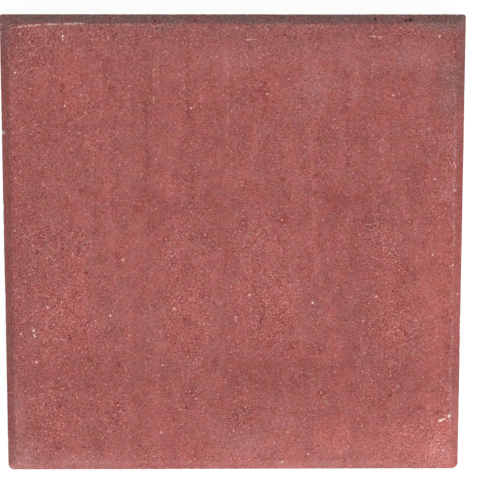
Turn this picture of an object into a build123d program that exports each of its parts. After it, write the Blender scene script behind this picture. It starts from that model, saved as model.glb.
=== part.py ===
from build123d import *
import os

# A square concrete paving slab, cast in one piece. It lies on its bed at Z = 0, with the
# walking face up. The origin is at the middle of the bed, X runs along the slab's length
# and Y across its width. All sizes are in millimetres.

# The block
slab_length = 400.0
slab_width = 400.0
slab_thickness = 40.0
side_corner_radius = 2.5  # the four upright corners, seen from above

# The bevel round the walking face
bevel_run = 9.0  # how far it reaches in over the walking face
bevel_drop = 9.0  # how far it reaches down the sides
face_corner_radius = 4.0  # the corners of the flat walking face inside the bevel

# The arrises, as the mould leaves them
ridge_radius = 3.0  # between the walking face and the bevel
rim_radius = 1.5  # between the bevel and the sides
bed_radius = 1.0  # between the sides and the bed

# Worked out from the sizes above
side_height = slab_thickness - bevel_drop
face_length = slab_length - 2 * bevel_run
face_width = slab_width - 2 * bevel_run

with BuildPart() as paving_slab:
    # The upright block, from the bed to where the bevel starts
    with BuildSketch() as block_outline:
        RectangleRounded(slab_length, slab_width, side_corner_radius)
    extrude(amount=side_height)

    # The bevelled top, from the block's outline in to the walking face
    with BuildSketch(Plane.XY.offset(side_height)) as bevel_foot:
        RectangleRounded(slab_length, slab_width, side_corner_radius)
    with BuildSketch(Plane.XY.offset(slab_thickness)) as walking_face:
        RectangleRounded(face_length, face_width, face_corner_radius)
    loft(sections=[bevel_foot.sketch, walking_face.sketch], ruled=True)

    # The arrises, from the top down
    ridge = paving_slab.faces().sort_by(Axis.Z)[-1].edges()
    fillet(ridge, ridge_radius)
    rim = paving_slab.edges().filter_by_position(Axis.Z, side_height, side_height)
    fillet(rim, rim_radius)
    bed_arris = paving_slab.faces().sort_by(Axis.Z)[0].edges()
    fillet(bed_arris, bed_radius)

paving_slab.part.label = "paving_slab"

os.makedirs("parts", exist_ok=True)
export_step(paving_slab.part, "parts/paving_slab.step")
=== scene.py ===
"""Concrete paving slab: the cast piece with its worn edges and sandy red finish, and a plain stage for it."""

import itertools

import bpy
import numpy as np
from bpy.props import FloatProperty, FloatVectorProperty, IntProperty, PointerProperty
from mathutils import Matrix, Vector


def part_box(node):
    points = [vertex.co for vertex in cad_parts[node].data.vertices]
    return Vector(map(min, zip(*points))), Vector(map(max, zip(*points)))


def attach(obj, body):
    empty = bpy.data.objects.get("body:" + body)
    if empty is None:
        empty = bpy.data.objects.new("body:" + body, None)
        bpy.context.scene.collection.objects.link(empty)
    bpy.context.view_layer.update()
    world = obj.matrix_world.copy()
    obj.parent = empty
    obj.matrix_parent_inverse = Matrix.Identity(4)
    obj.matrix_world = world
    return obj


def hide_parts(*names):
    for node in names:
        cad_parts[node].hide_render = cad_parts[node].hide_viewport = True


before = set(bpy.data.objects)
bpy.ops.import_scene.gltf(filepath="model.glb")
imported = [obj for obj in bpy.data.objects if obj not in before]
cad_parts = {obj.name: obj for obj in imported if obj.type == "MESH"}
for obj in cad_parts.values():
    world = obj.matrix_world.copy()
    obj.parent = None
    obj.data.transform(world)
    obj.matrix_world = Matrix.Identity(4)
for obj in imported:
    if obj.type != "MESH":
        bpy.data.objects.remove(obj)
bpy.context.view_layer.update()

bl_info = {
    "name": "Concrete paving slab",
    "version": (1, 0, 0),
    "blender": (4, 5, 0),
    "location": "3D View > Sidebar > Paving slab",
    "description": "Casts a worn red concrete paving slab over its CAD frame and sets a stage for it",
    "category": "Add Mesh",
}

NODE = "paving_slab"
SLOT = "red_concrete"
BODY = "root"
# The mesh's map of itself, on which it lies unfolded
SHEET = "OFBake"
MM = 0.001

slab_low, slab_high = (np.array(corner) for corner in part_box(NODE))
slab_size = slab_high - slab_low
slab_side = slab_size[:2].min()

# Marks on the slab, placed in millimetres on its plan: x to the right, y away from the front edge

# Pale grains that stand out one by one: x, y, size
BARE_GRAINS = (
    (-186, 150, 0.8), (-144, 122, 0.8), (-127, 116, 0.6), (-95, 116, 0.5), (-80, 163, 0.5),
    (-145, 181, 0.9), (-145, 178, 0.8), (-36, 120, 0.8), (29, 132, 0.8), (45, 127, 0.5), (12, 125, 0.5),
    (-42, 150, 0.5), (-10, 171, 0.5), (3, 188, 0.6), (137, 131, 0.9), (154, 125, 0.5), (176, 181, 0.9),
    (155, 183, 0.5), (113.5, -65, 0.7), (69, -49, 0.9), (79, 0, 0.6), (-185, -76, 0.8), (-174, -73, 1.1),
    (-173, -78, 0.9), (-172, -101, 1.0), (-126, -73, 0.5), (3, -66, 0.45), (4, -91, 0.6), (-62, -104, 0.7),
    (114, -93, 0.65), (166, -160, 0.8), (151, -159, 0.7), (43, -191, 0.9), (66, -184, 0.7),
    (185, -181, 0.9), (-198, 99, 1.3), (-107, -60, 1.0), (2, -61.5, 0.75), (-64, -74, 0.6), (-63, -79, 0.5),
    (-181, -81, 0.5), (-147, -82, 0.5), (-165, -82, 0.5), (174, 59, 0.8), (173, -7, 0.7), (191, -16, 0.9),
    (192, 70, 0.8), (192, 49, 0.8), (158, 87, 0.7), (155, 100, 0.4), (196.5, -42, 0.8), (152, -166, 0.7),
    (174, -184, 0.7), (181, -175, 0.7), (178, -180, 0.6), (190, -150, 1.5), (-181, 183, 0.6),
    (-174, 172, 0.5), (-180, 161, 0.5), (-181, 150, 0.5), (-132, 170, 0.5), (-108, 165, 0.5),
    (-106, 180, 0.6), (-90, 178, 0.5), (-119, 161, 0.4), (-166, 165, 0.4), (-169, 185, 0.5),
    (-176, 166, 0.4), (-184, 171, 0.5),
)
# Pink grains that stand out as much: x, y, size
PINK_GRAINS = (
    (-95.5, -11, 1.15), (-161.5, -52.5, 1.15), (-51.5, -54, 1.15), (-63.5, -164, 1.1), (124.5, -43.5, 1.1),
    (14, -42, 1.15),
)
# Rusty grains, each in a spot of darker red: x, y, size
RUSTY_GRAINS = (
    (-132.5, 11.5, 0.9), (-149, -124.5, 0.9), (42, 23.5, 0.95), (-182, -127, 0.85), (8.5, 21, 0.85),
    (10.5, -141.5, 0.9), (77, -129, 0.9), (-38, -127, 0.85), (-166, 10.5, 0.8), (-24.5, 10.5, 0.8),
    (-58, 7, 0.8), (119, 19.5, 0.8), (152.5, 22, 0.8), (-101, -139.5, 0.8), (138, -113.5, 0.85),
)
# Grey stones that show through the skin: x, y, size
GREY_STONES = (
    (-161, 2, 1.5), (-127.5, 4.5, 1.4), (-41, 55.5, 1.1), (14, 12.5, 1.3), (47.5, 15, 1.4), (-51, 1, 1.4),
    (-18, 2.5, 1.2), (-30, -5, 0.9), (-117, -91.5, 1.2), (-143.5, -132.5, 1.3), (-33, -134, 1.3),
    (-96, -148, 1.4), (124, 11.5, 1.4), (145, 6.5, 1.0), (158, 13, 1.1), (144.5, -123, 1.1),
    (81.5, -137, 1.3), (-177, -134.5, 1.3), (59, -81, 1.2), (15, -149.5, 1.3),
)
# Scrapes that took the red skin off: start x, start y, end x, end y, half width, strength
SCRAPES = (
    (181, -154.6, 184, -153.3, 1.0, 1.0), (184.6, -153, 187.2, -151.8, 0.7, 0.9),
    (-188, 187.6, -164, 190.6, 0.9, 0.58), (-160, 191, -126, 192, 0.9, 0.7),
    (11, 178, 19, 178.5, 0.6, 0.65), (116, 181, 127, 180, 0.6, 0.6), (-54, 183, -54, 178, 0.4, 0.35),
    (52, 186, 52, 181, 0.4, 0.35), (-113, 161, -113, 131, 0.5, 0.39), (-68, 161, -68, 124, 0.5, 0.4),
    (-42, 159, -42, 135, 0.5, 0.36), (106, 159, 106, 141, 0.5, 0.42), (-4.7, 161, -4.7, 101, 0.5, 0.28),
)
# Pits in the bevel along the back edge and beside it, sunk into the mesh and painted dark inside as their
# shade: x, y, half width, depth
PITS = (
    (121.5, 196, 1.3, 1.1), (151.5, 195.5, 1.6, 1.3), (147, 194.5, 1.0, 0.7), (171, 196, 0.8, 0.7),
    (-67, 194, 1.0, 0.8), (-65, 187.5, 0.85, 0.7), (83, 197.5, 0.8, 0.6), (30, 195, 0.75, 0.5),
)
# Chips off the lower rim: x, y, half width, depth
RIM_CHIPS = (
    (-199.5, 99, 1.2, 1.4), (-199, 17, 1.0, 1.1), (-52, 200, 1.0, 0.9), (-199, -82, 0.8, 0.8),
    (-198, -183, 1.1, 1.0), (199.5, -93, 1.0, 0.8), (199.5, -30, 0.8, 0.6), (199, -160, 1.1, 0.9),
)
# Ridge worn until the sand shows: x, y, reach in x, reach in y, strength
WORN_RIDGE = (
    (191, 125, 9, 22, 0.6), (191, 88, 9, 22, 1.2), (191, 35, 9, 45, 1.0), (191, -60, 9, 45, 0.9),
    (191, -140, 9, 45, 0.9), (-191, 160, 9, 25, 0.5), (-191, 110, 9, 30, 0.15), (-191, 0, 9, 60, 0.1),
    (-191, -140, 9, 60, 0.5), (-150, 191, 45, 9, 0.7), (-75, 191, 60, 9, 0.85), (60, 191, 70, 9, 0.55),
    (160, 191, 25, 9, 0.5), (0, -191, 190, 9, 0.2),
)
# Worn places on the walking face: x, y, reach in x, reach in y, strength
WORN_FACE = (
    (-170, 165, 16, 22, 0.2), (183, 70, 10, 16, 0.2), (180, 44, 14, 9, 0.4), (180, -180, 14, 16, 0.8),
    (165, -165, 20, 16, 0.25),
)
# Grey film of dirt, also painted shade along the back edge and at its corners, besides the back bevel's: x,
# y, reach in x, reach in y, strength
FILM_AND_SHADE_PATCHES = (
    (-197, 190, 12, 16, 0.9), (-188, 172, 16, 26, 0.2), (-198, 120, 7, 70, 0.12), (-197, -80, 7, 60, 0.2),
    (197, 193, 20, 12, 0.9), (194, 147, 14, 17, 0.7), (183, 120, 10, 10, 0.3), (-60, 188, 22, 7, 0.4),
    (0, 196, 260, 24, 0.27), (-184, -40, 18, 200, 0.08), (-185, -184, 18, 14, 0.22),
    (198, 170, 7, 20, 0.55), (178, 193, 30, 8, 0.85),
)
# Pale bloom of lime: x, y, reach in x, reach in y, strength
BLOOM_PATCHES = (
    (186, 127, 9, 6, 0.4), (186, 90, 8, 11, 0.3), (183, 48, 9, 7, 0.3), (70, 140, 16, 24, 0.3),
    (85, 165, 60, 10, 0.2), (155, 160, 36, 10, 0.35), (1, 161, 22, 10, 0.3), (10, -178, 26, 12, 0.4),
    (-186, -184, 16, 14, 0.7), (-190, -195, 20, 9, 1.0), (-130, -192, 40, 8, 0.55),
    (-188, -150, 6, 30, 0.5), (80, -196, 110, 7, 0.5), (46, -157, 20, 14, 0.25), (188, -184, 16, 14, 0.4),
    (197, -155, 6, 26, 0.45), (98, -181, 50, 8, 0.25),
)
# Ruddier, brighter skin: x, y, reach in x, reach in y, strength
RUDDY_PATCHES = (
    (178, 0, 12, 60, 0.24), (178, -60, 12, 60, 0.24), (150, -178, 70, 18, 0.32), (182, -165, 20, 30, 0.5),
    (172, -182, 22, 18, 0.55), (190, -190, 14, 12, 0.7), (60, -186, 140, 12, 0.18), (98, -174, 40, 16, 0.3),
    (-150, 165, 30, 30, 0.08), (197, -40, 7, 110, 0.18),
)
# Deeper red skin: x, y, reach in x, reach in y, strength
DEEP_PATCHES = (
    (-190, 0, 20, 260, 0.15), (-193, 0, 7, 200, 0.2), (-185, 165, 26, 30, 0.3), (197, 60, 7, 60, 0.14),
    (178, 60, 20, 90, 0.07), (110, 182, 90, 8, 0.18), (-70, 182, 100, 8, 0.14), (40, 171, 40, 8, 0.06),
    (-165, 180, 40, 12, 0.15), (195, 158, 9, 48, 0.4), (-52, -196, 20, 8, 0.12),
)
# Dark red strokes in the skin: start x, start y, end x, end y, half width, strength
DEEP_STROKES = (
    (-75, 128, -75, 104, 1.8, 0.4), (-75, 104, -74, 60, 1.8, 0.26), (98, 137, 98, 71, 1.8, 0.34),
    (28, 144, 27, 118, 2.2, 0.42), (-40, 143, -37, 113, 2.2, 0.4), (-146, 140, -145, 118, 2.2, 0.4),
)
# Dark red spots in the skin: x, y, half width, strength
DEEP_SPOTS = (
    (-125.5, -98.5, 2.2, 0.5), (-100, -103, 2.0, 0.45), (-96, -73, 2.2, 0.3), (108, -88, 2.0, 0.4),
    (-152, -140, 2.4, 0.45), (-40.5, -142, 2.2, 0.4), (-16, -100.5, 2.2, 0.45), (76.5, -91.5, 1.8, 0.45),
    (-103, -155.5, 2.2, 0.4), (137.5, -131.5, 3.0, 0.4), (85, -107, 2.2, 0.3), (-103, 51, 1.8, 0.4),
    (-103.5, 36.5, 2.0, 0.5), (-131, 49, 2.2, 0.5), (-23, 47, 1.6, 0.4), (-50, 37, 2.0, 0.35),
    (71, 62, 2.0, 0.4), (70.5, 47, 2.0, 0.45), (43, 59, 1.8, 0.45), (46, 43, 2.4, 0.3),
    (-104, 135, 2.4, 0.3), (-32, -81, 1.4, 0.6), (-142, -80, 1.4, 0.6), (145, -71, 1.4, 0.6),
    (-76, 118, 1.8, 0.35), (99, 127, 1.8, 0.35), (-165, 46, 2.2, 0.45), (-170, -4, 2.2, 0.45),
    (-135, -2.5, 2.0, 0.4), (-26, -5, 2.0, 0.4), (40, 7, 2.0, 0.35), (73, 3.5, 2.0, 0.35),
    (-111, -147, 2.0, 0.4), (51, -88, 2.0, 0.4), (1, -148.5, 2.4, 0.55), (148, -31, 2.2, 0.5),
    (39, -29.5, 2.2, 0.5), (-137, -40, 2.2, 0.5), (-27, -42, 1.8, 0.4), (-102, -7, 2.2, 0.5),
    (-171, 178, 2.6, 0.55), (-101, 181.5, 2.2, 0.55), (179, -147, 1.8, 0.45), (161.5, 180, 2.2, 0.45),
    (44, 182, 2.0, 0.4), (-62, 179, 2.0, 0.4), (-154, -178, 1.8, 0.4),
)
# Darker bands in the skin: x, y, reach in x, reach in y, strength
SHADED_PATCHES = (
    (-70, 34, 50, 12, 0.15), (30, 34, 40, 9, 0.12), (95, 36, 36, 16, 0.18), (-128, -113, 52, 17, 0.10),
    (18, -110, 72, 17, 0.16), (147, -112, 16, 20, 0.10), (-150, 95, 26, 16, 0.06), (-20, 100, 30, 12, 0.06),
    (105, 100, 36, 14, 0.08), (-78, -62, 5, 60, 0.08), (104, -70, 8, 50, 0.10), (104, 10, 10, 40, 0.08),
    (160, 60, 20, 20, 0.08),
)
# Lighter places in the skin: x, y, reach in x, reach in y, strength
LIT_PATCHES = (
    (60, 150, 50, 22, 0.08), (-95, -20, 60, 50, 0.04), (20, -30, 60, 50, 0.04), (-140, 145, 30, 20, 0.05),
    (90, -172, 80, 14, 0.08), (-120, -45, 8, 42, 0.10), (-12, -45, 8, 42, 0.08), (57, -45, 9, 40, 0.12),
    (170, -45, 10, 45, 0.06), (-40, -165, 30, 14, 0.07),
)
# Lighter strokes that the casting left in the skin: start x, start y, end x, end y, half width, strength
STROKES = (
    (-105, 108, -109, 85, 2.4, 0.16), (-109, 85, -106, -10, 2.2, 0.17), (76, 122, 66, 90, 3.0, 0.18),
    (66, 90, 72, -20, 2.2, 0.17), (-187, 178, -189, 112, 2.5, 0.12), (-66, 190, -66, 138, 2.0, 0.13),
    (-6, 188, -6, 142, 2.0, 0.13), (-112, 188, -110, 165, 3.0, 0.13), (-46, 112, -49, 74, 2.6, 0.16),
    (-49, 74, -60, 56, 2.8, 0.14), (20, 112, 17, 74, 2.6, 0.15), (17, 74, 3, 54, 2.8, 0.14),
    (131, 112, 128, 78, 2.6, 0.16), (128, 78, 116, 60, 2.8, 0.14), (-152, 96, -164, 74, 2.6, 0.14),
    (-164, 74, -186, 58, 2.8, 0.12), (-124, 96, -136, 64, 2.6, 0.13), (54, 112, 37, 98, 2.6, 0.13),
    (156, 98, 190, 112, 2.6, 0.13), (-22, 70, -30, 56, 2.6, 0.10), (150, 72, 141, 58, 2.6, 0.10),
)
# Skin that leans to pure red: x, y, reach in x, reach in y, strength
RED_PATCHES = (
    (-140, -57, 16, 34, 0.9), (-38, -57, 14, 34, 0.9), (37, -52, 16, 34, 0.9), (138, -57, 14, 34, 0.8),
    (-148, 140, 18, 16, 0.6), (-33, 134, 15, 16, 0.6), (32, 138, 14, 16, 0.6), (138, 143, 14, 18, 0.5),
    (-165, -158, 14, 14, 0.9), (-40, 58, 60, 40, 0.2), (184, -30, 16, 90, 0.8), (-186, 60, 10, 40, 0.5),
)
# Skin that leans to brown: x, y, reach in x, reach in y, strength
DULL_PATCHES = (
    (-105, -66, 9, 18, 1.0), (-73, -69, 10, 24, 1.0), (70, -58, 10, 22, 1.0), (105, -58, 10, 26, 1.0),
    (114, -93, 10, 10, 0.9), (-62, -104, 14, 10, 0.9), (-128, -159, 10, 10, 1.0), (-18, -159, 10, 9, 0.9),
    (10, -174, 14, 9, 0.8), (68, 138, 9, 14, 0.9), (5, 168, 14, 8, 0.6), (185, 142, 14, 14, 0.9),
    (-90, 100, 3, 90, 0.5), (92, 100, 3, 60, 0.4), (-14, -70, 8, 40, 0.5),
)
# Sandier skin, with more grain to see, in patches with plain edges: x, y, reach in x, reach in y, strength
SANDY_PATCHES = (
    (-156, -2, 28, 26, 1.2), (-146, -57, 29, 44, 1.2), (-44, -5, 22, 24, 1.1), (-40, -63, 23, 42, 1.1),
    (19, 1, 18, 24, 1.1), (34, -51, 23, 42, 1.1), (129, -2, 19, 26, 1.1), (138, -54, 24, 41, 1.0),
    (-167, -150, 19, 32, 1.0), (-151, -124, 9, 9, 0.6), (-105, -151, 16, 16, 1.0), (-39, -124, 10, 10, 0.7),
    (5, -151, 16, 20, 0.8), (71, -128, 9, 9, 0.5), (138, -119, 9, 10, 0.6), (57, -156, 23, 15, 0.6),
    (112, -154, 11, 11, 0.6), (180, 42, 9, 17, 0.8), (-150, 182, 56, 20, 0.8), (-150, 110, 45, 45, 0.3),
    (180, -180, 40, 34, 1.0), (60, -180, 120, 14, 0.4), (-176, 165, 20, 30, 1.0), (172, 182, 18, 9, 0.7),
    (150, 138, 15, 11, 0.6), (98, -172, 22, 11, 0.8), (-92, 178, 20, 14, 0.6),
)
# Sandier along the edges: x, y, reach in x, reach in y, strength
SANDY_EDGES = (
    (-190, 0, 12, 260, 0.5), (191, -40, 4, 150, 0.8), (0, 194, 260, 12, 0.9), (0, -192, 260, 12, 0.5),
    (-190, -190, 30, 30, 0.4),
)
# Smoother skin, in streaks from front to back and in patches: x, y, reach in x, reach in y, strength
SMOOTH_PATCHES = (
    (-82, -20, 10, 170, 0.45), (-64, 0, 9, 400, 0.3), (-10, 0, 9, 400, 0.5), (84, 0, 12, 400, 0.3),
    (106, 0, 12, 400, 0.4), (160, -60, 10, 200, 0.3), (28, -112, 24, 12, 0.8), (110, -112, 16, 14, 0.8),
    (-140, -116, 22, 12, 0.5), (40, -134, 16, 10, 0.5), (112, 172, 12, 12, 0.6),
)


# Settings

def metres(name, description, default, least=0.0):
    """A length, in metres."""
    return FloatProperty(name=name, description=description, default=default, min=least, unit="LENGTH")


def amount(name, description, default, least=0.0):
    """A plain number."""
    return FloatProperty(name=name, description=description, default=default, min=least)


def factor(name, description, default):
    """A number from 0 to 1."""
    return FloatProperty(name=name, description=description, default=default, min=0, max=1, subtype="FACTOR")


def degrees(name, description, default):
    """An angle, written here in degrees and kept in radians."""
    return FloatProperty(name=name, description=description, default=np.radians(default), subtype="ANGLE")


def spot(name, description, *default):
    """A place, in metres."""
    return FloatVectorProperty(
        name=name, description=description, default=default, subtype="XYZ", unit="LENGTH")


def colour(name, description, *default):
    """A colour, as red, green and blue light."""
    return FloatVectorProperty(
        name=name, description=description, default=(*default, 1), size=4, subtype="COLOR")


class SlabShape(bpy.types.PropertyGroup):
    """The slab's sizes, as in its CAD model, and the depths of its relief."""

    bevel_run: metres("Bevel run", "How far the bevel reaches in over the walking face", 9 * MM)
    bevel_drop: metres("Bevel drop", "How far the bevel reaches down the sides", 9 * MM)
    side_corner_radius: metres("Side corner radius", "Rounding of the upright corners", 2.5 * MM)
    worn_corner_radius: metres("Worn corner radius", "Rounding of the two worn front corners", 5.5 * MM)
    face_corner_radius: metres("Face corner radius", "Rounding of the walking face's corners", 4 * MM)
    ridge_radius: metres("Ridge radius", "Rounding between the walking face and the bevel", 3 * MM)
    rim_radius: metres("Rim radius", "Rounding between the bevel and the sides", 1.5 * MM)
    bed_radius: metres("Bed radius", "Rounding between the sides and the bed", 1 * MM)
    face_rows: IntProperty(
        name="Face rows", description="Rows of faces from the ridge to the middle of the walking face",
        default=108, min=8)
    unevenness: metres("Unevenness", "Depth of the broad hollows in every face", 0.25 * MM)
    grain_depth: metres("Grain depth", "Depth of the sandy grain that the mesh itself carries", 0.08 * MM)
    pore_depth: metres("Pore depth", "Depth of the scattered pores", 0.28 * MM)
    wear_depth: metres("Wear depth", "How deep the ridge and the rim are worn and nicked", 0.6 * MM)
    side_roughness: metres("Side roughness", "Depth of the drag marks and holes in the sides", 0.3 * MM)


class ConcreteFinish(bpy.types.PropertyGroup):
    """Colours and grain of the pigmented concrete."""

    deep_skin: colour("Deep skin", "Darker red of the mottled cement skin", 0.323, 0.081, 0.073)
    light_skin: colour("Light skin", "Lighter red of the mottled cement skin", 0.457, 0.131, 0.118)
    warm_tint: colour("Warm tint", "Multiplies the skin where it leans to orange", 1.0, 1.035, 0.875)
    cool_tint: colour("Cool tint", "Multiplies the skin where it leans to mauve", 0.98, 0.965, 1.14)
    red_tint: colour("Red tint", "Multiplies the skin where it leans to pure red", 1.05, 0.95, 0.95)
    brown_tint: colour("Brown tint", "Multiplies the skin where it leans to brown", 0.94, 1.07, 1.07)
    ruddy: colour("Ruddy skin", "Brighter, warmer tone of the skin", 0.66, 0.185, 0.162)
    pore: colour("Pore", "How much of the skin's colour is left inside a pore", 0.50, 0.15, 0.13)
    sand: colour("Sand", "Pale sand grains that show through the skin", 0.86, 0.39, 0.37)
    bare: colour("Bare grain", "Sand and stone where the skin is knocked off", 0.86, 0.66, 0.62)
    stone: colour("Stone", "Grey stones among the sand", 0.365, 0.185, 0.18)
    rust: colour("Rust", "Rusty grains among the sand", 0.72, 0.235, 0.205)
    # Painted shade inside the pits
    pit_shade: colour("Pit", "Dark inside of the pits in the bevel", 0.05, 0.02, 0.015)
    # Film: dirt, and also painted shade along the back edge
    film_and_shade: colour("Film", "Grey film of dirt", 0.200, 0.157, 0.148)
    # Browner film: dirt, and also part of that painted shade
    mud_and_shade: colour("Mud", "Browner dirt in the film", 0.250, 0.120, 0.120)
    bloom: colour("Bloom", "Pale bloom of lime", 0.58, 0.30, 0.30)
    grain_size: metres("Grain size", "Width of a sand grain", 0.88 * MM, 0.1 * MM)
    grain_bump: metres("Grain bump", "Height of the grain that the material adds", 0.25 * MM)
    roughness: factor("Roughness", "How matt the concrete is", 0.9)
    shine: factor("Shine", "Specular level of the concrete", 0.25)


class SlabStage(bpy.types.PropertyGroup):
    """Floor, lamp and camera."""

    floor_size: metres("Floor size", "Side of the square floor", 8.0, 1)
    floor_tone: factor("Floor tone", "Brightness of the floor for the light that it throws back", 0.6)
    seen_tone: factor("Seen tone", "Brightness of the floor for the camera, before its lift", 0.16)
    floor_lift: amount("Floor lift", "Light that the camera sees on the floor beside the lamp's", 0.915)
    fill_level: amount("Fill level", "Light from all round, where 1 shows a colour as it is written", 0.50)
    key_level: amount("Key level", "Light from the lamp on the walking face, on the same scale", 0.50)
    key_elevation: degrees("Key elevation", "Height of the lamp over the front edge", 56)
    key_azimuth: degrees("Key azimuth", "Turn of the lamp to the right of straight in front", 22)
    key_distance: metres("Key distance", "From the slab to the lamp", 3.0, 0.5)
    key_width: metres("Key width", "Width of the lamp's square face", 1.4, 0.01)
    camera_place: spot("Camera place", "Where the camera stands", -0.0054, 0.1375, 1.1894)
    camera_aim: spot("Camera aim", "Point that the camera looks at", 0.0058, 0.0063, 0.040)
    sensor_width: amount("Sensor width", "Width of the camera's sensor, in millimetres", 36, 1)
    lens: amount("Lens", "Focal length, in millimetres", 100.2, 1)


# Fields of numbers over the slab

def lattice_values(places, seed):
    """A random number from 0 to 1 for each whole-number place: its three coordinates and the seed, mixed by
    multiplying with large odd numbers and shifting, as a hash does."""
    x, y, z = places.astype(np.uint64).T
    mixed = x * np.uint64(73856093) ^ y * np.uint64(19349663) ^ z * np.uint64(83492791)
    mixed = (mixed + np.uint64(seed * 2654435761)) * np.uint64(6364136223846793005)
    mixed = (mixed ^ (mixed >> np.uint64(33))) * np.uint64(1099511628211)
    return (mixed >> np.uint64(40)).astype(float) / float(1 << 24)


def soft_noise(points, cell, seed):
    """A smooth field from 0 to 1: random numbers at the corners of cubes of this size, blended in between
    by the smooth step 3t^2 - 2t^3. The cell may be one size or one for each axis."""
    scaled = points / cell
    corner = np.floor(scaled)
    part = scaled - corner
    part = part * part * (3 - 2 * part)
    shifted = corner.astype(np.int64) + (1 << 20)
    field = np.zeros(len(points))
    for step in itertools.product((0, 1), repeat=3):
        weight = np.where(step, part, 1 - part).prod(axis=1)
        field += weight * lattice_values(shifted + step, seed)
    return field


def smooth_step(low, high, field):
    """0 below low, 1 above high, and 3t^2 - 2t^3 in between."""
    t = np.clip((field - low) / (high - low), 0, 1)
    return t * t * (3 - 2 * t)


def soft_patches(points, patches, hardness=1):
    """The strongest of several ellipses, seen from above: strength * exp(-away^hardness), where away is
    (dx/reach_x)^2 + (dy/reach_y)^2. They are soft at hardness 1, and level with plainer edges above it."""
    plan = points[:, :2] / MM
    field = np.zeros(len(points))
    for x, y, reach_x, reach_y, strength in patches:
        away = (((plan - (x, y)) / (reach_x, reach_y)) ** 2).sum(axis=1)
        field = np.maximum(field, strength * np.exp(-away ** hardness))
    return field


def soft_spots(points, spots):
    """The strongest of several round patches, each as wide as it is long."""
    return soft_patches(points, [(x, y, reach, reach, strength) for x, y, reach, strength in spots])


def beside_line(points, start_x, start_y, end_x, end_y):
    """How far each point lies past the nearer end of a line, below 0 beside the line, and how far to the left
    of it, both in millimetres and seen from above."""
    offset = points[:, :2] / MM - (start_x, start_y)
    line = np.array((end_x - start_x, end_y - start_y))
    length = np.hypot(*line)
    along = offset @ line / length
    left = offset @ (-line[1], line[0]) / length
    return np.maximum(-along, along - length), left


def soft_strokes(points, strokes):
    """The strongest of several soft strokes: strength * exp(-(distance from its line / half width)^2)."""
    field = np.zeros(len(points))
    for *ends, half_width, strength in strokes:
        past, left = beside_line(points, *ends)
        away = np.hypot(np.maximum(past, 0), left) / half_width
        field = np.maximum(field, strength * np.exp(-away ** 2))
    return field


def scrape_fields(points, scrapes):
    """Where each point lies beside the nearest scrape, seen from above: how far to the left of the scrape's
    line, in half widths, and the scrape's strength, which fades out over a half width past its ends."""
    furthest = 4
    nearest = np.full(len(points), np.inf)
    aside = np.full(len(points), float(furthest))
    strength = np.zeros(len(points))
    for *ends, half_width, power in scrapes:
        past, left = beside_line(points, *ends)
        away = np.hypot(np.maximum(past, 0), left)
        closer = away < nearest
        nearest = np.where(closer, away, nearest)
        aside = np.where(closer, np.clip(left / half_width, -furthest, furthest), aside)
        strength = np.where(closer, power * np.clip(1 - past / half_width, 0, 1), strength)
    return aside, strength * np.clip(furthest - np.abs(aside), 0, 1)


def grain_offsets(points, kinds):
    """For each point, its offset in x and y from the nearest of the listed grains, in metres, with its size,
    which is 0 further off than a few grains, so that no offset is blended between two grains. Also gives
    the grain's kind: the number of the list that it is in."""
    reach = 5 * MM
    nearest = np.full(len(points), np.inf)
    offsets = np.zeros((len(points), 4))
    for kind, grains in enumerate(kinds):
        for x, y, size in grains:
            offset = points[:, :2] - np.array((x, y)) * MM
            away = np.hypot(*offset.T)
            closer = away < nearest
            nearest = np.where(closer, away, nearest)
            found = np.column_stack((offset, size * (away < reach), np.full(len(points), kind)))
            offsets = np.where(closer[:, None], found, offsets)
    return offsets[:, :3], offsets[:, 3]


# The slab's surface

def arc_rows(corner, radius, enter, leave, steps):
    """Rows along an arc that rounds a corner of the section. A heading turns from enter to leave, and the
    arc's point is its centre + radius * (-sin heading, cos heading)."""
    reach = radius * np.tan((enter - leave) / 2)
    start = np.array(corner) - reach * np.array((np.cos(enter), np.sin(enter)))
    centre = start + radius * np.array((np.sin(enter), -np.cos(enter)))
    heading = np.linspace(enter, leave, steps + 1)
    inset = centre[0] - radius * np.sin(heading)
    height = centre[1] + radius * np.cos(heading)
    return np.stack((inset, height, heading), axis=1)


def line_rows(before, after, steps):
    """The rows strictly between two rows, on the straight line that joins them."""
    share = np.linspace(0, 1, steps + 1)[1:-1, None]
    rows = before + share * (after - before)
    rows[:, 2] = after[2]
    return rows


def section_rows(shape):
    """The slab's section as rows of inset from the outline, height and heading, from the bed over the side,
    the rim, the bevel and the ridge to the middle of the walking face, and the row where the side ends."""
    bed_steps, side_steps, rim_steps, bevel_steps, ridge_steps = 3, 12, 2, 9, 3
    thickness = slab_size[2]
    slope = np.arctan2(shape.bevel_drop, shape.bevel_run)
    side_top = (0, thickness - shape.bevel_drop)
    bed = arc_rows((0, 0), shape.bed_radius, np.pi, np.pi / 2, bed_steps)
    rim = arc_rows(side_top, shape.rim_radius, np.pi / 2, slope, rim_steps)
    ridge = arc_rows((shape.bevel_run, thickness), shape.ridge_radius, slope, 0, ridge_steps)
    middle = np.array((slab_side / 2, thickness, 0))
    side = line_rows(bed[-1], rim[0], side_steps)
    bevel = line_rows(rim[-1], ridge[0], bevel_steps)
    face = line_rows(ridge[-1], middle, shape.face_rows)
    side_end = len(bed) + len(side)
    return np.concatenate((bed, side, rim, bevel, ridge, face, middle[None])), side_end


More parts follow.
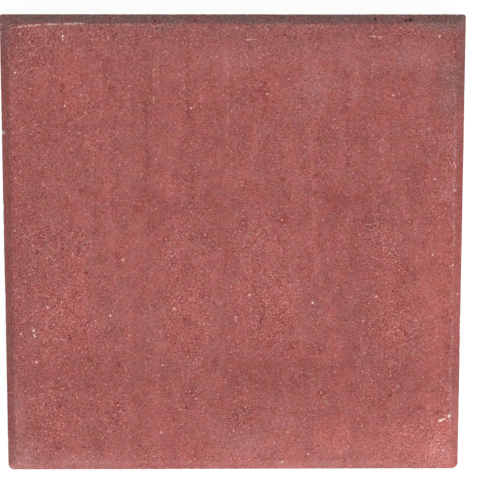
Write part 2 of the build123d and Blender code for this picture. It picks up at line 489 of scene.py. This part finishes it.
def on_ring(u, v, inset, radius):
    """Carries shares u and v of a square ring, of which one is 1 or -1, to a rectangle with rounded corners:
    a share of the way from a side's middle to the middle of its corner's arc. Gives x, y and the way out."""
    half = slab_size[:2, None] / 2 - inset
    straight = np.maximum(half - radius, 0)
    round_part = np.minimum(radius, half)
    way = np.abs((u, v)) * (straight + round_part * np.pi / 4)
    turn = np.clip((way - straight) / np.maximum(round_part, 1e-9), 0, np.pi / 4)
    along = np.minimum(way, straight) + round_part * np.sin(turn)
    lengthwise = np.abs(v) >= np.abs(u)
    across = straight[::-1] + round_part * np.cos(turn)
    x = np.where(lengthwise, along[0], across[1])
    y = np.where(lengthwise, across[0], along[1])
    out_x = np.where(lengthwise, np.sin(turn[0]), np.cos(turn[1]))
    out_y = np.where(lengthwise, np.cos(turn[0]), np.sin(turn[1]))
    return np.stack((np.sign(u) * x, np.sign(v) * y, np.sign(u) * out_x, np.sign(v) * out_y))


def border_of(cells):
    """The border vertices of a square grid of this many cells, in order, anticlockwise from above."""
    step = np.arange(cells)
    row = cells + 1
    return np.concatenate((step, cells + step * row, cells * row + cells - step, (cells - step) * row))


def grid_quads(cells):
    """The quads of a square grid, with their faces up."""
    column, row = np.meshgrid(np.arange(cells), np.arange(cells))
    first = (row * (cells + 1) + column).ravel()
    return np.stack((first, first + 1, first + cells + 2, first + cells + 1), axis=1)


def ring_shares(reach, cells):
    """For each vertex of a square grid, its ring, counted from the border in, and its shares of that ring. A
    vertex at reach[i], reach[j] from the middle lies on the ring of the larger reach."""
    column, row = (index.ravel() for index in np.meshgrid(np.arange(cells + 1), np.arange(cells + 1)))
    depth_x = np.minimum(column, cells - column)
    depth_y = np.minimum(row, cells - row)
    ring = np.minimum(depth_x, depth_y)
    size = np.maximum(reach[ring], 1e-9)
    u = np.sign(column - cells / 2) * reach[depth_x] / size
    v = np.sign(row - cells / 2) * reach[depth_y] / size
    return ring, u, v


def corner_radius(shape, v):
    """The rounding of the upright corner that each share of a ring belongs to: the front ones are worn."""
    return np.where(v < 0, shape.worn_corner_radius, shape.side_corner_radius)


def place_rows(u, v, inset, height, heading, radius):
    """Points at shares u, v of the outline's ring at this inset and height, and the section's outward way
    there: (way out of the ring * sin heading, cos heading)."""
    x, y, out_x, out_y = on_ring(u, v, inset, radius)
    points = np.stack((x, y, slab_low[2] + height), axis=1)
    ways = np.stack((out_x * np.sin(heading), out_y * np.sin(heading), np.cos(heading)), axis=1)
    return points, ways


def slab_surface(shape):
    """The slab as one closed surface. A square grid is the walking face, its bevel and rim, each ring of it a
    row of the section carried round the outline. A strip carries on down the sides, and a grid of half as
    many cells, joined by a ring of triangles, is the bed. Gives points, outward ways, quads and triangles."""
    rows, side_end = section_rows(shape)
    top_rows = rows[side_end:]
    cells = 2 * (len(top_rows) - 1)
    steps = np.linalg.norm(np.diff(top_rows[:, :2], axis=0), axis=1)
    reach = np.append(np.cumsum(steps[::-1])[::-1], 0)
    ring, u, v = ring_shares(reach, cells)
    inset, height, heading = top_rows[ring].T
    side_radius = corner_radius(shape, v)
    face_share = np.minimum(inset / shape.bevel_run, 1)
    radius = side_radius + face_share * (shape.face_corner_radius - side_radius)
    radius *= np.interp(inset, (shape.bevel_run, 3 * shape.bevel_run), (1, 0))
    top_points, top_ways = place_rows(u, v, inset, height, heading, radius)

    border = border_of(cells)
    side_rows = np.repeat(rows[:side_end], len(border), axis=0)
    inset, height, heading = side_rows.T
    side_u = np.tile(u[border], side_end)
    side_v = np.tile(v[border], side_end)
    radius = corner_radius(shape, side_v) - inset
    side_points, side_ways = place_rows(side_u, side_v, inset, height, heading, radius)

    bed_cells = cells // 2
    bed_margin = shape.bed_radius + 2.5 * MM
    bed_reach = np.linspace(1, 0, bed_cells // 2 + 1)
    ring, u, v = ring_shares(bed_reach, bed_cells)
    inset = slab_side / 2 - bed_reach[ring] * (slab_side / 2 - bed_margin)
    flat = np.zeros(len(ring))
    radius = np.clip(corner_radius(shape, v) - inset, 0, None)
    bed_points, bed_ways = place_rows(u, v, inset, flat, flat + np.pi, radius)

    points = np.concatenate((top_points, side_points, bed_points))
    ways = np.concatenate((top_ways, side_ways, bed_ways))
    side_start = len(top_points)
    bed_start = side_start + len(side_points)

    loops = np.append(side_start + np.arange(len(side_points)).reshape(side_end, -1), border[None], axis=0)
    after = np.roll(loops, -1, axis=1)
    side_quads = np.stack((loops[:-1], after[:-1], after[1:], loops[1:]), axis=-1).reshape(-1, 4)
    bed_quads = bed_start + grid_quads(bed_cells)[:, ::-1]
    quads = np.concatenate((grid_quads(cells), side_quads, bed_quads))

    inner = bed_start + border_of(bed_cells)
    next_inner = np.roll(inner, -1)
    outer, middle, far = loops[0, ::2], loops[0, 1::2], np.roll(loops[0, ::2], -1)
    triangles = np.concatenate((
        np.stack((middle, outer, inner), axis=1),
        np.stack((inner, next_inner, middle), axis=1),
        np.stack((far, middle, next_inner), axis=1),
    ))
    return points, ways, quads, triangles


def sheet_places(points, ways, faces):
    """Places of the faces' corners on a square sheet from 0 to 1, on which the slab lies unfolded: the
    walking face and its bevel over most of it, the sides in strips beside them, each as wide as the slab
    is thick, and the bed, seen least, small in the corner that is left."""
    share, gap = 0.8, 0.004
    x, y, z = np.moveaxis((points[faces] - slab_low) / slab_side, -1, 0)
    way_x, way_y, way_z = ways[faces].mean(axis=1).T[..., None]
    lengthwise = np.abs(way_y) > np.abs(way_x)
    far = np.where(lengthwise, way_y, way_x) > 0
    strip = share + gap + share * z + far * (share * slab_size[2] / slab_side + gap)
    u = np.where(lengthwise, share * x, strip)
    v = np.where(lengthwise, strip, share * y)
    up, down = way_z > 0.1, way_z < -0.5
    bed_share = 1 - share - 2 * gap
    u = np.where(up, share * x, np.where(down, share + gap + bed_share * x, u))
    v = np.where(up, share * y, np.where(down, share + gap + bed_share * y, v))
    return np.stack((u, v), axis=-1).reshape(-1, 2)


def outline_inset(points):
    """How far each point lies in from the nearest side of the outline."""
    return (slab_size[:2] / 2 - np.abs(points[:, :2])).min(axis=1)


def upward(ways):
    """1 where the surface looks up, as the walking face and its bevel do, and 0 on the sides and the bed."""
    return smooth_step(0.3, 0.6, ways[:, 2])


def patchiness(points):
    """From 0 to 1, how much of the film, of dirt and painted shade, and of the wear a place has."""
    return soft_noise(points, 9 * MM, seed=11)


def slab_fields(shape, points, ways):
    """What each vertex of the slab looks like: its shares of film, which is dirt and along the back edge also
    painted shade, of bloom, ruddy and deep skin, how light and how red its skin is, how sandy and how worn it
    is, how far in from the ridge it lies, whether it is on a side, and, as vectors, where it lies beside a
    scrape and a listed grain, with the kind of that grain."""
    spot_power, rusty_reach, rusty_power = 1.8, 3.4, 0.65
    up = upward(ways)
    patchy = patchiness(points)
    wavy = points + np.array((14 * MM, 0, 0)) * (soft_noise(points, 60 * MM, seed=15) - 0.5)[:, None]
    torn = np.column_stack([soft_noise(points, 12 * MM, seed) - 0.5 for seed in (16, 17, 18)])
    ragged = points + 10 * MM * torn
    swayed = points + 3 * MM * torn

    # The back bevel and the face beside it: a grey film of dirt, darkened further as painted shade
    back_gap = (slab_high[1] - points[:, 1]) / MM
    back_film_and_shade = smooth_step(11.5, 5.5, back_gap + 3 * (patchy - 0.5)) * (0.85 + 0.3 * (patchy - 0.5))
    back_film_and_shade *= np.interp(points[:, 0], (-150 * MM, -80 * MM), (0.89, 1))
    under_rim = (slab_high[2] - shape.bevel_drop - points[:, 2]) / MM
    run_down = smooth_step(14, 0, under_rim + 12 * (patchy - 0.5)) * smooth_step(0.3, 0.9, ways[:, 1])

    rim = np.exp(-(outline_inset(points) / (1.8 * MM)) ** 2)
    sandy = np.maximum(soft_patches(ragged, SANDY_PATCHES, hardness=2), soft_patches(points, SANDY_EDGES))
    sandy += 1.2 * rim - soft_patches(wavy, SMOOTH_PATCHES)
    lightness = soft_patches(ragged, LIT_PATCHES) - soft_patches(ragged, SHADED_PATCHES)
    lightness += soft_strokes(swayed, STROKES)

    rusty_spots = [(x, y, rusty_reach, rusty_power) for x, y, size in RUSTY_GRAINS]
    broken = 0.2 + 1.6 * soft_noise(points, 5 * MM, seed=19)
    deep = np.maximum.reduce((
        soft_patches(points, DEEP_PATCHES),
        soft_spots(points, DEEP_SPOTS) * spot_power,
        soft_spots(points, rusty_spots),
        soft_strokes(swayed, DEEP_STROKES) * broken,
    ))

    aside, strength = scrape_fields(points, SCRAPES)
    # The pits are painted dark inside, as their shade
    pit_shade_spots = [(x, y, half_width) for x, y, half_width, depth in PITS]
    offsets, kinds = grain_offsets(points, (pit_shade_spots, RUSTY_GRAINS, PINK_GRAINS, BARE_GRAINS, GREY_STONES))
    offsets[:, 2] *= up
    return {
        # Film: dirt, and painted shade along the back edge
        "film_and_shade": np.maximum(back_film_and_shade, soft_patches(points, FILM_AND_SHADE_PATCHES)) * np.maximum(up, run_down),
        "bloom": soft_patches(points, BLOOM_PATCHES) * up,
        "ruddy": soft_patches(points, RUDDY_PATCHES) * up,
        "deep": deep * up,
        "lightness": lightness * up,
        "redness": (soft_patches(ragged, RED_PATCHES) - soft_patches(ragged, DULL_PATCHES)) * up,
        "sandy": sandy * up,
        "worn_ridge": soft_patches(points, WORN_RIDGE) * (0.5 + patchy) * up,
        "worn_face": soft_patches(points, WORN_FACE) * (0.5 + patchy) * up,
        "ridge_gap": outline_inset(points) - shape.bevel_run,
        "side": smooth_step(0.3, 0, np.abs(ways[:, 2])) * smooth_step(0, 5, under_rim),
        "scrape": np.column_stack((aside, strength * up, np.zeros(len(points)))),
        "grain": offsets,
        "grain_kind": kinds,
    }


def slab_relief(shape, points, ways):
    """How deep each vertex of the slab is sunk into it, in metres: broad hollows, sandy grain and pores all
    over, worn and nicked edges, the listed pits and chips, and drag marks and holes in the sides."""
    up = upward(ways)
    down = ways[:, 2] < -0.5
    side = 1 - up - down
    inset = outline_inset(points)
    height = points[:, 2] - slab_low[2]
    rim_height = slab_size[2] - shape.bevel_drop
    ridge = np.exp(-((inset - shape.bevel_run) / (2 * MM)) ** 2) * up
    rim = np.exp(-(np.hypot(inset, height - rim_height) / (1.6 * MM)) ** 2)
    foot = np.exp(-((height / (1.5 * MM)) ** 2)) * (inset < 4 * MM)

    broad = soft_noise(points, 70 * MM, seed=1) * 0.6 + soft_noise(points, 18 * MM, seed=2) * 0.4
    sunk = shape.unevenness * broad + shape.grain_depth * soft_noise(points, 2.4 * MM, seed=3)
    sunk += shape.pore_depth * smooth_step(0.74, 0.95, soft_noise(points, 4.2 * MM, seed=4))

    patchy = patchiness(points)
    nicked = smooth_step(0.55, 0.9, soft_noise(points, 3 * MM, seed=12))
    ridge_wear = ridge * (0.35 * patchy + 0.65 * nicked)
    rim_nicks = rim * smooth_step(0.68, 0.92, soft_noise(points, 2.6 * MM, seed=13)) * patchy
    foot_nicks = foot * smooth_step(0.4, 0.8, soft_noise(points, 4 * MM, seed=14))
    sunk += shape.wear_depth * (ridge_wear + rim_nicks + foot_nicks)

    aside, strength = scrape_fields(points, SCRAPES)
    sunk += shape.grain_depth * strength * np.exp(-aside ** 2) * up
    sunk += soft_spots(points, PITS) * MM * up + soft_spots(points, RIM_CHIPS) * MM * (rim + 0.5 * up)

    drag = soft_noise(points, np.array((3, 3, 60)) * MM, seed=21)
    holes = smooth_step(0.76, 0.90, soft_noise(points, 6 * MM, seed=22))
    below_rim = smooth_step(0, 6 * MM, rim_height - height)
    sunk += shape.side_roughness * (0.5 * drag + 3.0 * holes) * (side * below_rim + 0.6 * down)
    return sunk


# The finish

class Wire:
    """What comes out of a node. Adding, multiplying and so on, of a wire and another wire or a plain number
    after it, puts one more node on the same sheet."""

    def __init__(self, sheet, socket):
        self.sheet = sheet
        self.socket = socket

    def __add__(self, other):
        return self.sheet.math("ADD", self, other)

    def __sub__(self, other):
        return self.sheet.math("SUBTRACT", self, other)

    def __mul__(self, other):
        return self.sheet.math("MULTIPLY", self, other)

    def __truediv__(self, other):
        return self.sheet.math("DIVIDE", self, other)

    def __pow__(self, other):
        return self.sheet.math("POWER", self, other)

    def __abs__(self):
        return self.sheet.math("ABSOLUTE", self)

    def scale(self, start, end, low=0.0, high=1.0, way="LINEAR"):
        """A straight line from low at start to high at end, held at both ends."""
        inputs = {"Value": self, "From Min": start, "From Max": end, "To Min": low, "To Max": high}
        return self.sheet.wire("ShaderNodeMapRange", inputs, interpolation_type=way)

    def fade(self, start, end, low=0.0, high=1.0):
        """A smooth step from low at start to high at end."""
        return self.scale(start, end, low, high, "SMOOTHSTEP")

    def covered(self, other, share):
        """This colour with a share of another laid over it."""
        return self.sheet.blend(share, self, other)

    def tinted(self, other, share=1.0):
        """This colour multiplied by a share of another."""
        return self.sheet.blend(share, self, other, "MULTIPLY")


class NodeSheet:
    """Adds nodes to a material or a world. An input is a wire from another node, or a plain value."""

    def __init__(self, tree):
        self.tree = tree
        tree.nodes.clear()

    def wires(self, kind, inputs, *outputs, **settings):
        """Adds a node with these inputs and settings, and gives a wire from each of these outputs."""
        made = self.tree.nodes.new(kind)
        for name, value in settings.items():
            setattr(made, name, value)
        for key, value in inputs.items():
            if isinstance(value, Wire):
                self.tree.links.new(value.socket, made.inputs[key])
            else:
                made.inputs[key].default_value = value
        return [Wire(self, made.outputs[key]) for key in outputs]

    def wire(self, kind, inputs, output=0, **settings):
        """Adds a node and gives a wire from one output, the first if none is named."""
        return self.wires(kind, inputs, output, **settings)[0]

    def math(self, operation, first, second=0.0):
        """The result of one of the operations on numbers."""
        return self.wire("ShaderNodeMath", {0: first, 1: second}, operation=operation)

    def noise(self, place, size, detail=1.0, rough=0.5):
        """Soft noise from 0 to 1 with patches about this wide."""
        inputs = {"Vector": place, "Scale": 1 / size, "Detail": detail, "Roughness": rough}
        return self.wire("ShaderNodeTexNoise", inputs, "Fac")

    def cells(self, place, size):
        """Cells about this wide: the distance to the nearest one's middle, in cells, and two random numbers
        of its own."""
        inputs = {"Vector": place, "Scale": 1 / size}
        distance, own = self.wires("ShaderNodeTexVoronoi", inputs, "Distance", "Color")
        return distance, *self.wires("ShaderNodeSeparateColor", {"Color": own}, "Red", "Green")

    def blend(self, share, first, second, way="MIX"):
        """The first colour with this share of the second laid over it."""
        share_input, first_input, second_input, colour_output = 0, 6, 7, 2
        inputs = {share_input: share, first_input: first, second_input: second}
        return self.wire("ShaderNodeMix", inputs, colour_output, data_type="RGBA", blend_type=way)

    def field(self, name):
        """One of the mesh's own fields."""
        return self.wire("ShaderNodeAttribute", {}, "Fac", attribute_name=name)

    def vector_field(self, name):
        """The three parts of one of the mesh's own vector fields."""
        vector = self.wire("ShaderNodeAttribute", {}, "Vector", attribute_name=name)
        return self.wires("ShaderNodeSeparateXYZ", {"Vector": vector}, "X", "Y", "Z")

    def mapped(self, place, **change):
        """The place with each axis multiplied by the Scale, or moved by the Location, in metres."""
        return self.wire("ShaderNodeMapping", {"Vector": place, **change})

    def show(self, kind, shader):
        """Ends the sheet with its output node."""
        self.wires(kind, {"Surface": shader})


def concrete_material(finish):
    """Pigmented concrete: a red cement skin, mottled and streaked, with ruddy patches, grey film of dirt that
    is also painted shade along the back edge, and pale bloom where the mesh's fields put them, then the tone
    of each sand grain, and the bare grains on top."""
    material = bpy.data.materials.new(SLOT)
    material.use_nodes = True
    sheet = NodeSheet(material.node_tree)
    place = sheet.wire("ShaderNodeTexCoord", {}, "Object")

    # Skin: soft mottling, faint streaks from front to back, and a hue from orange to mauve and brown
    mottle = sheet.noise(place, 14 * MM, 3.0, 0.55)
    streak = sheet.noise(sheet.mapped(place, Scale=(1, 0.15, 1)), 15 * MM, 2.0, 0.6)
    brushed = sheet.noise(sheet.mapped(place, Scale=(1, 0.12, 1)), 4 * MM)
    redness = sheet.field("redness")
    hue = sheet.noise(place, 10 * MM, 2.0, 0.85) - redness * 0.06
    elsewhere = sheet.mapped(place, Location=(0.3, 0.7, 0.1))
    dullness = sheet.noise(elsewhere, 12 * MM, 2.0, 0.8) - redness * 0.16
    tone = mottle * 0.6 + streak * 0.4 + (brushed - 0.5) * 0.25 + sheet.field("lightness")
    skin = sheet.blend(tone.scale(0.30, 0.70), finish.deep_skin, finish.light_skin)
    skin = skin.tinted(sheet.blend(hue.scale(0.335, 0.665), finish.warm_tint, finish.cool_tint))
    skin = skin.tinted(sheet.blend(dullness.scale(0.335, 0.665), finish.red_tint, finish.brown_tint))
    stain = sheet.noise(place, 4.5 * MM).fade(0.60, 0.74)
    skin = skin.tinted(finish.pore, stain * 0.2)
    skin = skin.covered(finish.ruddy, sheet.field("ruddy") * mottle.scale(0.3, 0.7, 0.75, 1.25))
    fine = sheet.noise(place, 0.65 * finish.grain_size)
    skin = skin.tinted(finish.pore, sheet.field("deep") * fine.scale(0.35, 0.65, 1.6, 0.4))

    # Film of dirt, also painted shade along the back edge, and bloom lie on the skin in blotches
    blotch = sheet.noise(place, 24 * MM, 4.0, 0.7)
    dirt_and_shade_tone = sheet.blend(blotch.fade(0.42, 0.66), finish.film_and_shade, finish.mud_and_shade)
    film_and_shade = sheet.field("film_and_shade") * mottle.scale(0.3, 0.6, 0.75, 1.05)
    # Lays on the film: dirt, and painted shade along the back edge
    skin = skin.covered(dirt_and_shade_tone, film_and_shade)
    skin = skin.covered(finish.bloom, sheet.field("bloom") * hue.scale(0.3, 0.7, 0.25, 0.85))

    # Sand: each grain has a tone of its own, and here and there a larger one stands out
    grit = fine - 0.5
    distance, own, _ = sheet.cells(place, finish.grain_size)
    rounded = distance.fade(0.8, 0.2)
    large_distance, large_own, kind = sheet.cells(place, 1.95 * finish.grain_size)
    large_round = large_distance.fade(0.5, 0.2)
    large = large_own.scale(0.0, 1.0, -0.90, 1.0) ** 7.0 * large_round
    sandy = sheet.field("sandy") + (blotch - 0.5) * 2.5
    grain = (own - 0.5) * rounded + grit * 1.8 + large * 1.4
    grain = grain * sandy.scale(-1.0, 2.0, 0.6, 2.0) * film_and_shade.scale(0.2, 1.0, 1.0, 0.9)

    # Listed grains are ragged spots. Grey stones, listed or scattered, and pores lie under the sand
    across, along, size = sheet.vector_field("grain")
    listed = sheet.field("grain_kind")
    away = (across * across + along * along) ** 0.5 + grit * (1.8 * MM)
    single = (away / size).fade(1.3 * MM, 0.6 * MM) * size.scale(0.0, 0.8)
    scattered = large_round * kind.fade(0.975, 0.985, 0.0, 0.5)
    stone = sheet.math("MAXIMUM", scattered, single * listed.scale(3.0, 4.0))
    skin = skin.covered(finish.stone, stone)
    pore = large_round * kind.fade(0.04, 0.03)
    skin = skin.tinted(finish.pore, pore * 0.5)

    # The sides, as the mould left them: holes of many sizes, sunk by the bump and darkened inside as painted
    # shade
    hole_distance, hole_own, _ = sheet.cells(place, 6 * MM)
    hole = (hole_distance - hole_own.scale(0.4, 1.0, -0.1, 0.3)).fade(0.04, -0.06) * sheet.field("side")
    # Painted shade inside the holes
    skin = skin.tinted(finish.pore, hole * 0.7)

    # Wear brings out the pale grains, and leaves a broken pale line along the ridge
    pale = rounded * own
    grain = grain + sheet.field("worn_face") * pale * 1.2
    skin = skin.tinted(finish.pore, grain.scale(0.0, -0.8))
    skin = skin.covered(finish.sand, grain.scale(0.0, 1.6))
    wobble = sheet.noise(place, 3 * MM, 2.0) - 0.5
    sway = sheet.noise(place, 11 * MM) - 0.5
    gap = sheet.field("ridge_gap") + wobble * (3 * MM) + sway * (5 * MM)
    ridge = abs(gap).fade(1.6 * MM, 0.3 * MM) * pale.scale(0.1, 0.5, 0.1, 1.2)
    ridge = ridge * wobble.scale(-0.12, 0.12, 0.4, 1.6) * sheet.field("worn_ridge")
    skin = skin.covered(finish.bloom, ridge)

    # The other kinds of listed grains, in order: pits, painted dark as their shade, then rusty, pink and pale
    # ones, of which some are whiter
    bare = sheet.blend((size * kind).scale(0.1, 0.8), finish.sand, finish.bare)
    # Painted shade in the pits, then rust
    fleck = sheet.blend(listed.scale(0.0, 1.0), finish.pit_shade, finish.rust)
    fleck = fleck.covered(finish.sand, listed.scale(1.0, 2.0))
    fleck = fleck.covered(bare, listed.scale(2.0, 3.0))
    skin = skin.covered(fleck, single * listed.scale(3.0, 4.0, 1.0, 0.0))

    # Scrapes, which break up into grains where they are weak
    aside, strength, _ = sheet.vector_field("scrape")
    scrape = (abs(aside) + grit * 3.5).fade(1.4, 0.4) * strength.scale(0.0, 0.8)
    scrape = scrape * (own + strength + wobble * 2.5).fade(0.75, 1.35)
    skin = skin.covered(sheet.blend(strength.scale(0.1, 1.0), finish.sand, finish.bare), scrape)

    # Relief finer than the mesh
    height = fine - distance * 0.6 + large * 0.8 - hole * 3.0
    bump = sheet.wire("ShaderNodeBump", {"Height": height, "Strength": 0.6, "Distance": finish.grain_bump})
    rough = fine.scale(0.3, 0.7, finish.roughness - 0.06, finish.roughness + 0.06)
    sheet.show("ShaderNodeOutputMaterial", sheet.wire("ShaderNodeBsdfPrincipled", {
        "Base Color": skin, "Roughness": rough, "Specular IOR Level": finish.shine, "Normal": bump}))
    return material


# The stage

def seen_ray(sheet):
    """1 for rays that the camera sends, straight, by gloss or through glass, and 0 for the rest."""
    camera, gloss, glass = sheet.wires(
        "ShaderNodeLightPath", {}, "Is Camera Ray", "Is Glossy Ray", "Is Transmission Ray")
    return sheet.math("MAXIMUM", sheet.math("MAXIMUM", camera, gloss), glass)


def floor_material(stage):
    """A pale matt floor. The camera sees it lifted to white, with the slab's shadow faint on it."""
    material = bpy.data.materials.new("pale_floor")
    material.use_nodes = True
    sheet = NodeSheet(material.node_tree)
    seen = seen_ray(sheet)
    tone = seen.scale(0, 1, stage.floor_tone, stage.seen_tone)
    sheet.show("ShaderNodeOutputMaterial", sheet.wire("ShaderNodeBsdfPrincipled", {
        "Base Color": tone, "Roughness": 1.0, "Specular IOR Level": 0.0,
        "Emission Color": (1, 1, 1, 1), "Emission Strength": seen * stage.floor_lift}))
    return material


def add_floor(stage):
    """A square floor under the slab, on a grid of two parameters."""
    half = stage.floor_size / 2
    across, along = np.meshgrid((-half, half), (-half, half))
    corners = np.stack((across.ravel(), along.ravel(), np.full(4, slab_low[2])), axis=1)
    mesh = bpy.data.meshes.new("floor")
    mesh.from_pydata(corners, [], grid_quads(1).tolist())
    mesh.materials.append(floor_material(stage))
    floor = bpy.data.objects.new("floor", mesh)
    bpy.context.scene.collection.objects.link(floor)


def set_world(stage):
    """Even light from all round, with white behind it for the camera."""
    world = bpy.data.worlds.new("studio")
    bpy.context.scene.world = world
    world.use_nodes = True
    sheet = NodeSheet(world.node_tree)
    level = seen_ray(sheet).scale(0, 1, stage.fill_level, 1.0)
    inputs = {"Color": (1, 1, 1, 1), "Strength": level}
    sheet.show("ShaderNodeOutputWorld", sheet.wire("ShaderNodeBackground", inputs))


def look_at(thing, place, aim):
    """Stands a lamp or camera at a place, turned to the aim, with the top of its view to the back edge."""
    away = (Vector(place) - Vector(aim)).normalized()
    right = Vector((0, 1, 0)).cross(away).normalized()
    top = away.cross(right)
    thing.location = place
    thing.rotation_euler = Matrix((right, top, away)).transposed().to_euler()


def add_key_lamp(stage):
    """A square lamp in front of the slab. Its power gives key_level on the walking face: a lamp of power P at
    distance d and elevation e lights a level white face to P sin(e) / (pi d)^2."""
    lamp = bpy.data.lights.new("key_lamp", "AREA")
    lamp.size = stage.key_width
    rise = np.sin(stage.key_elevation)
    lamp.energy = stage.key_level * (np.pi * stage.key_distance) ** 2 / rise
    flat = np.cos(stage.key_elevation)
    way = np.array((np.sin(stage.key_azimuth) * flat, -np.cos(stage.key_azimuth) * flat, rise))
    middle = np.array((0, 0, slab_high[2]))
    holder = bpy.data.objects.new("key_lamp", lamp)
    bpy.context.scene.collection.objects.link(holder)
    look_at(holder, middle + way * stage.key_distance, middle)


def add_camera(stage):
    """The camera, almost straight above the slab, leaning in from the back edge."""
    view = bpy.data.cameras.new("camera")
    view.sensor_width = stage.sensor_width
    view.lens = stage.lens
    holder = bpy.data.objects.new("camera", view)
    bpy.context.scene.collection.objects.link(holder)
    look_at(holder, stage.camera_place, stage.camera_aim)
    bpy.context.scene.camera = holder


class SLAB_OT_cast(bpy.types.Operator):
    """Cast the slab: its worn surface over the CAD node, and its concrete"""

    bl_idname = "slab.cast"
    bl_label = "Cast the slab"

    def execute(self, context):
        shape = context.scene.slab_shape
        points, ways, quads, triangles = slab_surface(shape)
        sunk = slab_relief(shape, points, ways)
        mesh = bpy.data.meshes.new("worn_slab")
        mesh.from_pydata(points - sunk[:, None] * ways, [], quads.tolist() + triangles.tolist())
        mesh.shade_smooth()
        for name, field in slab_fields(shape, points, ways).items():
            kind, key = ("FLOAT", "value") if field.ndim == 1 else ("FLOAT_VECTOR", "vector")
            mesh.attributes.new(name, kind, "POINT").data.foreach_set(key, field.astype(np.float32).ravel())
        places = np.concatenate([sheet_places(points, ways, faces) for faces in (quads, triangles)])
        mesh.uv_layers.new(name=SHEET).data.foreach_set("uv", places.astype(np.float32).ravel())
        mesh.materials.append(concrete_material(context.scene.slab_finish))
        slab = bpy.data.objects.new("worn_slab", mesh)
        context.scene.collection.objects.link(slab)
        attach(slab, BODY)
        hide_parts(NODE)
        return {"FINISHED"}


class SLAB_OT_stage(bpy.types.Operator):
    """Set the stage: a pale floor, soft light and the camera"""

    bl_idname = "slab.stage"
    bl_label = "Set the stage"

    def execute(self, context):
        stage = context.scene.slab_stage
        context.scene.view_settings.view_transform = "Standard"
        add_floor(stage)
        set_world(stage)
        add_key_lamp(stage)
        add_camera(stage)
        return {"FINISHED"}


class VIEW3D_PT_paving_slab(bpy.types.Panel):
    """Sizes, finish and stage of the slab, with the steps that make it"""

    bl_label = "Paving slab"
    bl_space_type = "VIEW_3D"
    bl_region_type = "UI"
    bl_category = "Paving slab"

    def draw(self, context):
        scene = context.scene
        steps = (
            (scene.slab_shape, ()),
            (scene.slab_finish, (SLAB_OT_cast,)),
            (scene.slab_stage, (SLAB_OT_stage,)),
        )
        for group, operators in steps:
            box = self.layout.box()
            for name in group.__annotations__:
                box.prop(group, name)
            for operator in operators:
                box.operator(operator.bl_idname)


GROUPS = {"slab_shape": SlabShape, "slab_finish": ConcreteFinish, "slab_stage": SlabStage}
CLASSES = (*GROUPS.values(), SLAB_OT_cast, SLAB_OT_stage, VIEW3D_PT_paving_slab)


def register():
    """Makes Blender know the classes, and gives every scene the settings."""
    for kind in CLASSES:
        bpy.utils.register_class(kind)
    for name, group in GROUPS.items():
        setattr(bpy.types.Scene, name, PointerProperty(type=group))


def unregister():
    """Takes back what register gave."""
    for name in GROUPS:
        delattr(bpy.types.Scene, name)
    for kind in reversed(CLASSES):
        bpy.utils.unregister_class(kind)


def main():
    """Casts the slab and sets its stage."""
    register()
    bpy.ops.slab.cast()
    bpy.ops.slab.stage()


if __name__ == "__main__":
    main()
